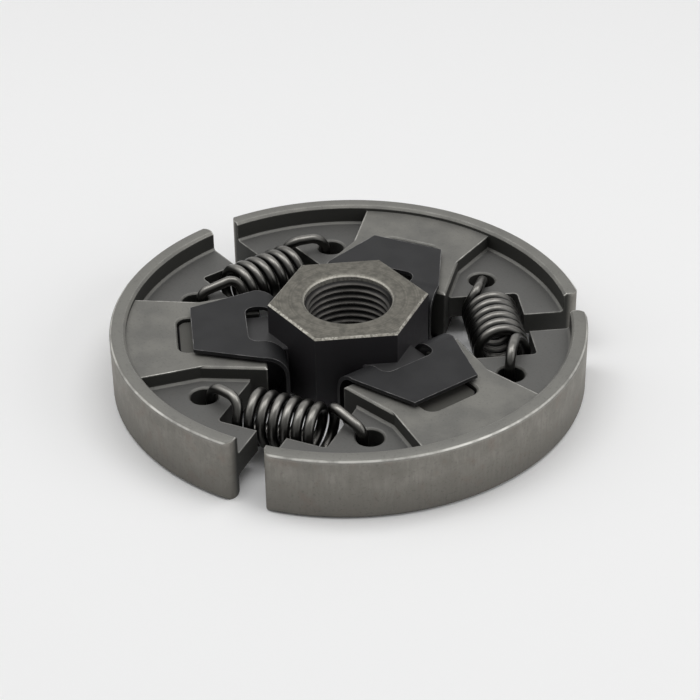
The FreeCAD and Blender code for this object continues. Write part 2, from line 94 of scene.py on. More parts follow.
class Mixture(Enum):
    """What a Mix node mixes: its data type, then its two inputs and its output by number."""

    COLOURS = ("RGBA", 6, 7, 2)
    NORMALS = ("VECTOR", 4, 5, 1)


@dataclass(frozen=True)
class Mottle:
    """Cloudy noise, and the levels between which it is cut into spots.

    Attributes:
        size: Width of its clouds, in metres.
        detail: How many finer layers it has.
        rough: How strong those are.
        cut: Where a spot starts and where it is full.
    """

    size: float
    detail: float = 2.0
    rough: float = 0.5
    cut: Span = (0.3, 0.7)


class Socket:
    """One output of a shader node, with Python's operators for its arithmetic."""

    def __init__(self, graph: Graph, port: Optional[bpy.types.NodeSocket]) -> None:
        """Keeps the graph that the port belongs to.

        Args:
            graph: The graph that further nodes go into.
            port: The node's output, or None for a node that has none.
        """
        self.graph = graph
        self.port = port

    def __add__(self, other: Number) -> Socket:
        """Adds a value."""
        return self.graph.math("ADD", self, other)

    def __radd__(self, other: Number) -> Socket:
        """Adds to a value."""
        return self.graph.math("ADD", other, self)

    def __sub__(self, other: Number) -> Socket:
        """Takes a value away."""
        return self.graph.math("SUBTRACT", self, other)

    def __rsub__(self, other: Number) -> Socket:
        """Is taken away from a value."""
        return self.graph.math("SUBTRACT", other, self)

    def __mul__(self, other: Number) -> Socket:
        """Multiplies by a value."""
        return self.graph.math("MULTIPLY", self, other)

    def __rmul__(self, other: Number) -> Socket:
        """Multiplies a value."""
        return self.graph.math("MULTIPLY", other, self)

    def __neg__(self) -> Socket:
        """Turns the sign."""
        return self.graph.math("MULTIPLY", self, -1.0)

    def __abs__(self) -> Socket:
        """Drops the sign."""
        return self.graph.math("ABSOLUTE", self)

    def rise(self, low: float, high: float) -> Socket:
        """A smooth step.

        Args:
            low: Where the step is still 0.
            high: Where the step has reached 1.

        Returns:
            The step, between 0 and 1.
        """
        settings = {"interpolation_type": "SMOOTHSTEP"}
        values = {"Value": self, "From Min": low, "From Max": high}
        return self.graph.node("ShaderNodeMapRange", settings, values, "Result")

    def between(self, none: float, full: float) -> Socket:
        """Turns a share from 0 to 1 into a value from none to full."""
        return none + (full - none) * self


class Graph:
    """The node tree of a material or of the world."""

    EDGE_SAMPLES = 8
    SKY_SAMPLES = 6
    BEVEL_SAMPLES = 6
    EDGE_CUT: Span = (0.06, 0.42)
    AROUND_AXIS: Point = (1.0, 1.0, 0.0)

    def __init__(self, tree: bpy.types.NodeTree) -> None:
        """Empties a node tree.

        Args:
            tree: The tree to fill.
        """
        self.tree = tree
        self.tree.nodes.clear()

    def node(
        self,
        kind: str,
        settings: Optional[dict[str, Any]] = None,
        values: Optional[dict[Union[str, int], Any]] = None,
        output: Union[str, int] = 0,
    ) -> Socket:
        """Adds any node.

        Args:
            kind: The node's type.
            settings: Properties of the node, set before its sockets.
            values: A number, colour or link for each named or numbered input.
            output: Name or number of the output wanted.

        Returns:
            That output.
        """
        made = self.tree.nodes.new(kind)
        for name, value in (settings or {}).items():
            setattr(made, name, value)
        for name, value in (values or {}).items():
            if isinstance(value, Socket):
                self.tree.links.new(value.port, made.inputs[name])
            else:
                made.inputs[name].default_value = value
        port = made.outputs[output] if len(made.outputs) else None
        return Socket(self, port)

    def math(self, operation: str, *terms: Number) -> Socket:
        """Adds a Math node."""
        return self.node("ShaderNodeMath", {"operation": operation}, dict(enumerate(terms)))

    def mix(self, share: Number, first: Any, second: Any) -> Socket:
        """Mixes two colours.

        Args:
            share: How much of the second, from 0 to 1.
            first: A colour or a link.
            second: A colour or a link.

        Returns:
            The mixed colour.
        """
        colours = [item if isinstance(item, Socket) else (*item, 1.0) for item in (first, second)]
        return self._mixed(Mixture.COLOURS, share, *colours)

    def mix_normals(self, share: Number, first: Socket, second: Socket) -> Socket:
        """Mixes two normals, with the share of the second from 0 to 1."""
        return self._mixed(Mixture.NORMALS, share, first, second)

    def _mixed(self, mixture: Mixture, share: Number, first: Any, second: Any) -> Socket:
        """Adds a Mix node.

        Args:
            mixture: What it mixes.
            share: How much of the second, from 0 to 1.
            first: A value or a link.
            second: A value or a link.

        Returns:
            What comes out.
        """
        data_type, first_input, second_input, output = mixture.value
        values = {0: share, first_input: first, second_input: second}
        return self.node("ShaderNodeMix", {"data_type": data_type}, values, output)

    def scaled(self, vector: Socket, factors: Point) -> Socket:
        """Stretches a vector along each axis by its factor."""
        values = {0: vector, 1: factors}
        return self.node("ShaderNodeVectorMath", {"operation": "MULTIPLY"}, values)

    def place(self) -> Socket:
        """The point on the surface, in the object's own metres."""
        return self.node("ShaderNodeTexCoord", output="Object")

    def axis(self, vector: Socket, name: str) -> Socket:
        """One coordinate of a vector."""
        return self.node("ShaderNodeSeparateXYZ", values={0: vector}, output=name)

    def reach(self, place: Socket) -> Socket:
        """Distance of a point from the clutch axis, in metres."""
        values = {0: self.scaled(place, self.AROUND_AXIS)}
        return self.node("ShaderNodeVectorMath", {"operation": "LENGTH"}, values, "Value")

    def upright(self) -> Socket:
        """How far the face looks up, from -1 to 1."""
        normal = self.node("ShaderNodeNewGeometry", output="True Normal")
        return self.axis(normal, "Z")

    def noise(self, place: Socket, mottle: Mottle) -> Socket:
        """Cloudy noise.

        Args:
            place: The point to read it at.
            mottle: Its scale.

        Returns:
            The noise, around NOISE_MEAN.
        """
        values = {
            "Vector": place,
            "Scale": 1.0 / mottle.size,
            "Detail": mottle.detail,
            "Roughness": mottle.rough,
        }
        return self.node("ShaderNodeTexNoise", None, values, "Fac")

    def spots(self, place: Socket, mottle: Mottle) -> Socket:
        """The spots of cloudy noise: 1 in a spot, 0 between spots."""
        return self.noise(place, mottle).rise(*mottle.cut)

    def outer_edges(self, width: float) -> Socket:
        """How near a point is to an outward edge of its own piece.

        Args:
            width: How far from the edge it reaches, in metres.

        Returns:
            1 at the edge, 0 away from it.
        """
        settings = {"inside": True, "only_local": True, "samples": self.EDGE_SAMPLES}
        open_share = self.node("ShaderNodeAmbientOcclusion", settings, {"Distance": width}, "AO")
        return (1.0 - open_share).rise(*self.EDGE_CUT)

    def open_sky(self, distance: float) -> Socket:
        """How much of its outside a point sees, up to a distance: 0 in a closed corner."""
        settings = {"samples": self.SKY_SAMPLES}
        return self.node("ShaderNodeAmbientOcclusion", settings, {"Distance": distance}, "AO")

    def rounded(self, radius: float) -> Socket:
        """The surface's normal with every edge rounded by a radius in metres."""
        return self.node("ShaderNodeBevel", {"samples": self.BEVEL_SAMPLES}, {"Radius": radius})

    def background_rays(self) -> Socket:
        """Which rays see the background.

        Returns:
            1 for a ray from the camera, off a shiny surface or through glass, 0 for any other.
        """
        camera, glossy, through = [
            self.node("ShaderNodeLightPath", output=name)
            for name in ("Is Camera Ray", "Is Glossy Ray", "Is Transmission Ray")
        ]
        return (camera + glossy + through).rise(0.0, 1.0)

    def bump(self, height: Socket, distance: float, normal: Socket) -> Socket:
        """Roughens a normal by a height.

        Args:
            height: From 0 to 1.
            distance: What 1 stands for, in metres.
            normal: The normal to start from.

        Returns:
            The new normal.
        """
        values = {"Height": height, "Distance": distance, "Normal": normal}
        return self.node("ShaderNodeBump", None, values)


def new_material(name: str) -> tuple[bpy.types.Material, Graph]:
    """An empty material.

    Args:
        name: Its name.

    Returns:
        The material and its graph.
    """
    material = bpy.data.materials.new(name)
    material.use_nodes = True
    return material, Graph(material.node_tree)


def shade(graph: Graph, values: dict[str, Any]) -> None:
    """Ends a material's graph in one shader.

    Args:
        graph: The material's graph.
        values: Inputs of the shader.
    """
    surface = graph.node("ShaderNodeBsdfPrincipled", None, values)
    graph.node("ShaderNodeOutputMaterial", None, {"Surface": surface})


@dataclass(frozen=True)
class ShoeFinish:
    """Steam-treated sintered iron: warm grey, finely grained, worn bright along its edges, with
    painted highlights and painted shade.
    """

    face: Colour = (0.199, 0.195, 0.178)
    shaded_face: Colour = (0.146, 0.144, 0.134)
    rim_face: Colour = (0.192, 0.189, 0.174)
    web: Colour = (0.120, 0.119, 0.115)
    wall: Colour = (0.048, 0.048, 0.044)
    friction: Colour = (0.262, 0.251, 0.226)
    friction_dark: Colour = (0.192, 0.183, 0.163)
    friction_shade: Colour = (0.104, 0.099, 0.088)
    stain: Colour = (0.210, 0.172, 0.148)
    painted_shade: Colour = (0.018, 0.018, 0.017)
    wear_and_highlight: Colour = (0.62, 0.61, 0.57)

    middle: float = 4.5 * MM
    bevel_middle: float = 32.325 * MM
    past_web: Span = (1.75 * MM, 2.25 * MM)
    past_legs: Span = (13.4 * MM, 14.8 * MM)
    rim: Span = (30.3 * MM, 30.4 * MM)
    outer_wall: Span = (30.6 * MM, 31.8 * MM)
    rim_line: Span = (0.03 * MM, 0.17 * MM)
    upper_half: Span = (3.5 * MM, 5.5 * MM)
    lower_wall: Span = (0.0, 6.75 * MM)
    whole_wall: Span = (0.0, 9.0 * MM)
    edge_width: float = 0.3 * MM
    corner_width: float = 0.9 * MM
    edge_round: float = 0.3 * MM
    rim_round: float = 0.9 * MM
    open_reach: float = 2.5 * MM
    grain_depth: float = 0.012 * MM

    grain: Mottle = Mottle(0.2 * MM, 3.0, 0.6)
    pores: Mottle = Mottle(0.34 * MM, cut=(0.56, 0.72))
    clouds: Mottle = Mottle(5.0 * MM, 5.0, 0.55)
    smudges: Mottle = Mottle(3.2 * MM, 5.0, 0.65, (0.28, 0.72))
    streaks: Mottle = Mottle(0.45 * MM, 3.0, 0.6, (0.4, 0.66))
    stains: Mottle = Mottle(2.4 * MM, cut=(0.55, 0.75))
    edge_patches: Mottle = Mottle(2.4 * MM, 5.0, 0.62, (0.36, 0.64))
    rim_patches: Mottle = Mottle(3.4 * MM, 5.0, 0.6, (0.32, 0.62))
    corner_patches: Mottle = Mottle(1.2 * MM, 4.0, 0.6)
    streak_stretch: Point = (1.0, 1.0, 0.16)

    rim_share: Span = (0.6, 1.0)
    web_share: Span = (0.35, 0.85)
    low_shade_share: Span = (0.35, 0.75)
    pore_share: float = 0.2
    streak_share: float = 0.55
    stain_share: float = 0.45
    leg_shade: float = 0.85
    corner_shade: float = 0.8
    shade_cut: Span = (0.12, 0.5)
    open_edge: Span = (0.3, 0.62)
    upper_share: Span = (0.25, 1.0)
    web_edge_share: Span = (1.0, 0.45)
    edge_strength: Span = (0.26, 0.96)
    rim_strength: Span = (0.2, 0.75)
    corner_strength: Span = (0.1, 0.3)

    metallic: float = 0.72
    roughness: float = 0.6
    rough_spread: float = 0.12
    rubbed_gloss: float = 0.22

    def material(self) -> bpy.types.Material:
        """The finish as a material.

        Returns:
            The material.
        """
        material, graph = new_material("shoe_iron")
        place = graph.place()
        reach = graph.reach(place)
        upright = abs(graph.upright())
        flat = upright.rise(*Facing.FLAT.value)
        wall = 1.0 - upright.rise(*Facing.SLOPED.value)
        outside = reach.rise(*self.outer_wall)
        on_rim = flat * reach.rise(*self.rim)
        on_web = 1.0 - abs(graph.axis(place, "Z") - self.middle).rise(*self.past_web)
        clouds = graph.spots(place, self.clouds)
        colour = graph.mix(clouds, self.shaded_face, self.face)
        colour = graph.mix(on_rim * clouds.between(*self.rim_share), colour, self.rim_face)
        colour = graph.mix(on_web * flat.between(*self.web_share), colour, self.web)
        # Painted shade: the inner upright walls are darkened.
        colour = graph.mix(wall * (1.0 - outside), colour, self.wall)
        colour = graph.mix(wall * outside, colour, self.friction_face(graph, place))
        colour = graph.mix(graph.spots(place, self.pores) * self.pore_share, colour, self.wall)
        open_sky = graph.open_sky(self.open_reach)
        # Edges made paler, partly wear and partly a painted highlight.
        edges = self.bright_edges(graph, place, upright, open_sky)
        edges = edges * on_web.between(*self.web_edge_share) * (1.0 - outside)
        # The outer wall's margins made paler, partly wear and partly a painted highlight.
        corners = wall * outside * self.pale_corners(graph, place)
        # The rim's outer bevel gets a painted highlight line.
        brightened = graph.math("MAXIMUM", edges, self.rim_highlight(graph, place, upright))
        brightened = graph.math("MAXIMUM", brightened, corners)
        colour = graph.mix(brightened, colour, self.wear_and_highlight)
        # Painted shade in corners and crevices, where the point sees little open space.
        in_corner = open_sky.rise(*self.shade_cut).between(self.corner_shade, 0.0)
        colour = graph.mix(in_corner, colour, self.painted_shade)
        # Painted shade on the land towards the hub, under the retainer plate.
        on_legs = reach.rise(*self.past_legs).between(self.leg_shade, 0.0)
        colour = graph.mix(on_legs, colour, self.painted_shade)
        grain = graph.noise(place, self.grain)
        sharp = graph.rounded(self.edge_round)
        crowned = graph.rounded(self.rim_round)
        normal = graph.mix_normals(on_rim, sharp, crowned)
        polish = self.rubbed_gloss * brightened
        shade(graph, {
            "Base Color": colour,
            "Metallic": self.metallic,
            "Roughness": self.roughness - polish + self.rough_spread * (grain - NOISE_MEAN),
            "Normal": graph.bump(grain, self.grain_depth, normal),
        })
        return material

    def friction_face(self, graph: Graph, place: Socket) -> Socket:
        """Colour of the outer wall, smudged, streaked upright and darker towards the floor, which
        is painted shade.

        Args:
            graph: The material's graph.
            place: The point on the surface.

        Returns:
            The colour.
        """
        smudges = graph.spots(place, self.smudges)
        streaks = graph.spots(graph.scaled(place, self.streak_stretch), self.streaks)
        stains = graph.spots(place, self.stains)
        # Painted shade: the outer wall darkens towards the floor.
        low = 1.0 - graph.axis(place, "Z").rise(*self.lower_wall)
        colour = graph.mix(smudges, self.friction_dark, self.friction)
        colour = graph.mix(streaks * self.streak_share, colour, self.friction_dark)
        colour = graph.mix(stains * self.stain_share, colour, self.stain)
        return graph.mix(low * smudges.between(*self.low_shade_share), colour, self.friction_shade)

    def bright_edges(
        self, graph: Graph, place: Socket, upright: Socket, open_sky: Socket
    ) -> Socket:
        """Open outward edges made paler, mostly from above: partly oxide rubbed through to bright
        iron, partly a painted highlight.

        Args:
            graph: The material's graph.
            place: The point on the surface.
            upright: How far the face looks up or down.
            open_sky: How open the point lies.

        Returns:
            How pale the edges are made, from 0 to 1.
        """
        edges = graph.outer_edges(self.edge_width) * open_sky.rise(*self.open_edge)
        level = upright.rise(*Facing.SLOPED.value)
        patches = graph.spots(place, self.edge_patches)
        return edges * level.between(*self.upper_share) * patches.between(*self.edge_strength)

    def rim_highlight(self, graph: Graph, place: Socket, upright: Socket) -> Socket:
        """A painted highlight: the thin bright line along the middle of the rim's outer bevels.

        Args:
            graph: The material's graph.
            place: The point on the surface.
            upright: How far the face looks up or down.

        Returns:
            How bright the painted highlight is, from 0 to 1.
        """
        line = 1.0 - abs(graph.reach(place) - self.bevel_middle).rise(*self.rim_line)
        sloped = upright.rise(*Facing.SLOPED.value) * (1.0 - upright.rise(*Facing.FLAT.value))
        above = graph.axis(place, "Z").rise(*self.upper_half)
        patches = graph.spots(place, self.rim_patches)
        return line * sloped * above.between(*self.upper_share) * patches.between(*self.rim_strength)

    def pale_corners(self, graph: Graph, place: Socket) -> Socket:
        """The friction face's paler margin at its ends and along its upper edge, partly wear and
        partly a painted highlight.

        Args:
            graph: The material's graph.
            place: The point on the surface.

        Returns:
            How pale it is made, from 0 to 1.
        """
        margin = graph.outer_edges(self.corner_width)
        above = graph.axis(place, "Z").rise(*self.whole_wall)
        patches = graph.spots(place, self.corner_patches)
        return margin * above * patches.between(*self.corner_strength)


@dataclass(frozen=True)
class HubFinish:
    """Blackened steel with bare machined end faces, paler arms, and edges worn bright and partly
    painted as highlights; the bore's lead-in gets a painted highlight.
    """

    black: Colour = (0.0285, 0.0272, 0.0298)
    arm: Colour = (0.066, 0.065, 0.066)
    arm_end: Colour = (0.084, 0.082, 0.074)
    bare: Colour = (0.188, 0.178, 0.153)
    bare_dark: Colour = (0.085, 0.081, 0.070)
    wear_and_highlight: Colour = (0.44, 0.425, 0.38)

    above_seat: Span = (0.4 * MM, 0.5 * MM)
    above_arm: Span = (7.6 * MM, 8.6 * MM)
    lead_in: Span = (11.1 * MM, 11.3 * MM)
    end_face: Span = (11.6 * MM, 11.8 * MM)
    past_bore: Span = (6.1 * MM, 6.3 * MM)
    past_bore_rim: Span = (6.8 * MM, 7.2 * MM)
    out_on_arm: Span = (15.0 * MM, 18.0 * MM)
    edge_width: float = 0.36 * MM
    edge_round: float = 0.12 * MM
    grain_depth: float = 0.008 * MM

    grain: Mottle = Mottle(0.2 * MM)
    clouds: Mottle = Mottle(1.1 * MM, 5.0, 0.66, (0.3, 0.66))
    rings: Mottle = Mottle(0.34 * MM, 4.0, 0.7, (0.42, 0.66))
    speckle: Mottle = Mottle(0.4 * MM, 3.0, 0.65, (0.36, 0.58))
    edge_patches: Mottle = Mottle(2.6 * MM, 3.0, 0.6, (0.36, 0.6))

    bare_share: Span = (0.2, 1.0)
    ring_share: float = 0.55
    ring_relief: float = 0.5
    face_grain: Span = (1.0, 0.4)
    lead_in_highlight: Span = (0.42, 0.72)
    face_edge_share: Span = (0.06, 1.0)
    bore_edge_share: Span = (0.25, 1.0)
    edge_strength: Span = (0.25, 0.8)
    least_bright: float = 0.12

    metallic: Span = (0.55, 0.85)
    specular: float = 0.3
    roughness: float = 0.5
    rough_spread: float = 0.12
    rubbed_gloss: float = 0.1

    def material(self) -> bpy.types.Material:
        """The finish as a material.

        Returns:
            The material.
        """
        material, graph = new_material("hub_steel")
        place = graph.place()
        reach = graph.reach(place)
        height = graph.axis(place, "Z")
        upright = graph.upright()
        level = abs(upright).rise(*Facing.FLAT.value)
        face = self.end_faces(height, upright)
        clouds = graph.noise(place, self.clouds)
        rings = graph.noise(graph.node("ShaderNodeCombineXYZ", None, {0: reach}), self.rings)
        speckle = graph.spots(place, self.speckle)
        on_arm = level * (1.0 - height.rise(*self.above_arm))
        arm = graph.mix(reach.rise(*self.out_on_arm), self.arm, self.arm_end)
        colour = graph.mix(on_arm, self.black, arm)
        pale = clouds.rise(*self.clouds.cut).between(*self.bare_share)
        bare = graph.mix(pale, self.bare_dark, self.bare)
        bare = graph.mix(rings.rise(*self.rings.cut) * self.ring_share, bare, self.bare_dark)
        colour = graph.mix(face, colour, bare)
        # Painted highlight: the bore's upright lead-in wall is made paler in speckles.
        lead_in = (1.0 - reach.rise(*self.past_bore)) * height.rise(*self.lead_in)
        colour = graph.mix(lead_in * speckle.between(*self.lead_in_highlight), colour, self.wear_and_highlight)
        # Edges made paler, partly wear and partly a painted highlight.
        brightened = self.bright_edges(graph, place, face, level, speckle)
        colour = graph.mix(brightened, colour, self.wear_and_highlight)
        grain = graph.noise(place, self.grain) * face.between(*self.face_grain)
        relief = grain + rings * face * self.ring_relief
        polish = self.rubbed_gloss * brightened
        shade(graph, {
            "Base Color": colour,
            "Metallic": face.between(*self.metallic),
            "Roughness": self.roughness - polish + self.rough_spread * (clouds - NOISE_MEAN),
            "Specular IOR Level": self.specular,
            "Normal": graph.bump(relief, self.grain_depth, graph.rounded(self.edge_round)),
        })
        return material

    def end_faces(self, height: Socket, upright: Socket) -> Socket:
        """Where the steel is bare: the wrench end and the seat below.

        Args:
            height: Of the point, in metres.
            upright: How far the face looks up.

        Returns:
            1 on the end faces with their bevels, 0 elsewhere.
        """
        end = upright.rise(*Facing.SLOPED.value) * height.rise(*self.end_face)
        seat = (-upright).rise(*Facing.SLOPED.value) * (1.0 - height.rise(*self.above_seat))
        return end + seat

    def bright_edges(
        self, graph: Graph, place: Socket, face: Socket, level: Socket, speckle: Socket
    ) -> Socket:
        """Where the edges of the end faces are made paler, less so around the bore: partly rubbed
        bright, partly a painted highlight.

        Args:
            graph: The material's graph.
            place: The point on the surface.
            face: 1 on the end faces with their bevels.
            level: 1 on flat faces.
            speckle: Fine spots.

        Returns:
            How pale the edges are made, from 0 to 1.
        """
        bevel = face * (1.0 - level)
        edges = graph.outer_edges(self.edge_width) * face.between(*self.face_edge_share)
        handled = graph.reach(place).rise(*self.past_bore_rim).between(*self.bore_edge_share)
        patches = graph.spots(place, self.edge_patches).between(*self.edge_strength)
        return graph.math("MAXIMUM", edges, bevel) * handled * (self.least_bright + patches * speckle)


@dataclass(frozen=True)
class ThreadFinish:
    """Cut thread: oily dark flanks and crests rubbed bright by the crankshaft."""

    crest: Colour = (0.110, 0.105, 0.097)
    flank: Colour = (0.012, 0.0115, 0.0115)
    past_crest: Span = (5.56 * MM, 5.82 * MM)
    edge_round: float = 0.05 * MM
    grain_depth: float = 0.004 * MM
    grain: Mottle = Mottle(0.1 * MM)
    clouds: Mottle = Mottle(1.3 * MM, 3.0)
    oil_share: float = 0.6
    metallic: float = 0.8
    roughness: Span = (0.38, 0.52)

    def material(self) -> bpy.types.Material:
        """The finish as a material.

        Returns:
            The material.
        """
        material, graph = new_material("thread_steel")
        place = graph.place()
        clouds = graph.noise(place, self.clouds)
        on_flank = graph.reach(place).rise(*self.past_crest)
        colour = graph.mix(clouds * self.oil_share, self.crest, self.flank)
        colour = graph.mix(on_flank, colour, self.flank)
        grain = graph.noise(place, self.grain)
        shade(graph, {
            "Base Color": colour,
            "Metallic": self.metallic,
            "Roughness": clouds.between(*self.roughness),
            "Normal": graph.bump(grain, self.grain_depth, graph.rounded(self.edge_round)),
        })
        return material


@dataclass(frozen=True)
class RetainerFinish:
    """Black phosphated spring sheet, satin, with sheared edges paler, partly rubbed and partly a
    painted highlight.
    """

    coat: Colour = (0.0110, 0.0110, 0.0119)
    coat_pale: Colour = (0.0196, 0.0196, 0.0205)
    wear_and_highlight: Colour = (0.34, 0.335, 0.33)
    edge_width: float = 0.14 * MM
    edge_round: float = 0.06 * MM
    open_reach: float = 2.0 * MM
    grain_depth: float = 0.005 * MM
    grain: Mottle = Mottle(0.12 * MM, 3.0)
    clouds: Mottle = Mottle(4.0 * MM, 4.0)
    edge_patches: Mottle = Mottle(1.8 * MM, 4.0, 0.6, (0.38, 0.66))
    open_edge: Span = (0.3, 0.6)
    upper_share: Span = (0.2, 1.0)
    edge_strength: Span = (0.26, 0.86)
    metallic: float = 0.25
    specular: float = 0.29
    roughness: float = 0.5
    rough_spread: float = 0.14
    rubbed_gloss: float = 0.12

    def material(self) -> bpy.types.Material:
        """The finish as a material.

        Returns:
            The material.
        """
        material, graph = new_material("retainer_steel")
        place = graph.place()
        clouds = graph.noise(place, self.clouds)
        colour = graph.mix(clouds.rise(*self.clouds.cut), self.coat, self.coat_pale)
        edges = graph.outer_edges(self.edge_width)
        edges = edges * graph.open_sky(self.open_reach).rise(*self.open_edge)
        level = abs(graph.upright()).rise(*Facing.SLOPED.value)
        patches = graph.spots(place, self.edge_patches)
        # Sheared edges made paler on level, open faces: partly wear, partly a painted highlight.
        brightened = edges * level.between(*self.upper_share) * patches.between(*self.edge_strength)
        colour = graph.mix(brightened, colour, self.wear_and_highlight)
        grain = graph.noise(place, self.grain)
        polish = self.rubbed_gloss * brightened
        shade(graph, {
            "Base Color": colour,
            "Metallic": self.metallic,
            "Roughness": self.roughness - polish + self.rough_spread * (clouds - NOISE_MEAN),
            "Specular IOR Level": self.specular,
            "Normal": graph.bump(grain, self.grain_depth, graph.rounded(self.edge_round)),
        })
        return material


@dataclass(frozen=True)
class SpringFinish:
    """Oil-tempered wire: dark gunmetal, with painted highlights on the crowns above and below and
    painted shade on the flanks and between the turns.
    """

    wire: Colour = (0.240, 0.232, 0.216)
    shaded_flank: Colour = (0.046, 0.045, 0.042)
    painted_shade: Colour = (0.044, 0.044, 0.043)
    open_reach: float = 1.6 * MM
    grain_depth: float = 0.004 * MM
    grain: Mottle = Mottle(0.12 * MM, 3.0)
    clouds: Mottle = Mottle(1.6 * MM, 4.0, 0.6)
    lit_crown: Span = (0.5, 1.0)
    lit_crown_share: Span = (0.55, 1.0)
    shade_cut: Span = (0.34, 0.95)
    shade_share: float = 0.85
    metallic: float = 0.95
    roughness: Span = (0.24, 0.36)

    def material(self) -> bpy.types.Material:
        """The finish as a material.

        Returns:
            The material.
        """
        material, graph = new_material("spring_steel")
        place = graph.place()
        clouds = graph.noise(place, self.clouds)
        smooth = graph.node("ShaderNodeNewGeometry", output="Normal")
        # Painted highlight and shade: paler where the normal looks up or down, darker on the
        # flanks.
        lit_crown = abs(graph.axis(smooth, "Z")).rise(*self.lit_crown)
        pale = lit_crown * clouds.rise(*self.clouds.cut).between(*self.lit_crown_share)
        colour = graph.mix(pale, self.shaded_flank, self.wire)
        open_sky = graph.open_sky(self.open_reach)
        # Painted shade between the turns, where the point sees little open space.
        between_turns = open_sky.rise(*self.shade_cut).between(self.shade_share, 0.0)
        colour = graph.mix(between_turns, colour, self.painted_shade)
        grain = graph.noise(place, self.grain)
        shade(graph, {
            "Base Color": colour,
            "Metallic": self.metallic,
            "Roughness": clouds.between(*self.roughness),
            "Normal": graph.bump(grain, self.grain_depth, smooth),
        })
        return material


@dataclass(frozen=True)
class FloorFinish:
    """Plain pale studio paper, which stays pale where the lamps no longer reach it."""

    paper: Colour = (0.93, 0.93, 0.93)
    glow: Colour = (0.44, 0.44, 0.44)
    no_glow: Colour = (0.0, 0.0, 0.0)
    past_lamps: Span = (0.2, 0.75)
    roughness: float = 0.9

    def material(self) -> bpy.types.Material:
        """The finish as a material.

        Returns:
            The material.
        """
        material, graph = new_material("studio_paper")
        away = graph.reach(graph.place()).rise(*self.past_lamps)
        glowing = away * graph.background_rays()
        shade(graph, {
            "Base Color": (*self.paper, 1.0),
            "Roughness": self.roughness,
            "Emission Color": graph.mix(glowing, self.no_glow, self.glow),
            "Emission Strength": 1.0,
        })
        return material


def dress(piece: bpy.types.Object, material: bpy.types.Material) -> None:
    """Gives a piece one material.

    Args:
        piece: The piece.
        material: What it is made of.
    """
    piece.data.materials.clear()
    piece.data.materials.append(material)


def about_axis(angle: float) -> Matrix:
    """A turn about the clutch axis by an angle in degrees."""
    return Matrix.Rotation(math.radians(angle), 4, "Z")


def put(name: str, data: bpy.types.ID) -> bpy.types.Object:
    """Puts a new object into the scene.

    Args:
        name: Of the object.
        data: Its mesh, lamp or camera.

    Returns:
        The object.
    """
    made = bpy.data.objects.new(name, data)
    bpy.context.scene.collection.objects.link(made)
    return made


def put_form(name: str, form: bmesh.types.BMesh) -> bpy.types.Object:
    """Puts a finished form into the scene as a mesh.

    Args:
        name: Of the object and its mesh.
        form: The form, which is freed.

    Returns:
        The object.
    """
    mesh = bpy.data.meshes.new(name)
    form.to_mesh(mesh)
    form.free()
    return put(name, mesh)


@dataclass
class WireTube:
    """Round wire along a path."""

    radius: float
    sides: int = 20

    def form(self, path: Sequence[Vector]) -> bmesh.types.BMesh:
        """Sweeps the wire.

        Args:
            path: Points of the wire's middle line, close together.

        Returns:
            A closed form, smooth but for its flat ends.
        """
        form = bmesh.new()
        heading = (path[1] - path[0]).normalized()
        side = heading.orthogonal().normalized()
        rings: list[list[bmesh.types.BMVert]] = []
        for index, point in enumerate(path):
            ahead = path[min(index + 1, len(path) - 1)] - path[max(index - 1, 0)]
            side = heading.rotation_difference(ahead.normalized()) @ side
            heading = ahead.normalized()
            ring = []
            for step in range(self.sides):
                spin = Quaternion(heading, 2 * math.pi * step / self.sides)
                ring.append(form.verts.new(point + (spin @ side) * self.radius))
            rings.append(ring)
        for ring, after in zip(rings, rings[1:]):
            for step in range(self.sides):
                beside = (step + 1) % self.sides
                face = form.faces.new((ring[step], ring[beside], after[beside], after[step]))
                face.smooth = True
        for end in (rings[0][::-1], rings[-1]):
            for edge in form.faces.new(end).edges:
                edge.smooth = False
        return form


def rounded_path(points: Sequence[Vector], radius: float, steps: int) -> list[Vector]:
    """Straight runs joined by tangent bends.

    Args:
        points: The path's corners with both its ends.
        radius: Of every bend.
        steps: Points along each bend.

    Returns:
        The path's points.
    """
    path = [points[0]]
    for before, corner, after in zip(points, points[1:], points[2:]):
        back = (before - corner).normalized()
        ahead = (after - corner).normalized()
        half = back.angle(ahead) / 2
        centre = corner + (back + ahead).normalized() * (radius / math.sin(half))
        spoke = corner + back * (radius / math.tan(half)) - centre
        for step in range(steps + 1):
            turn = Quaternion(spoke.cross(-back), (math.pi - 2 * half) * step / steps)
            path.append(centre + turn @ spoke)
    path.append(points[-1])
    return path


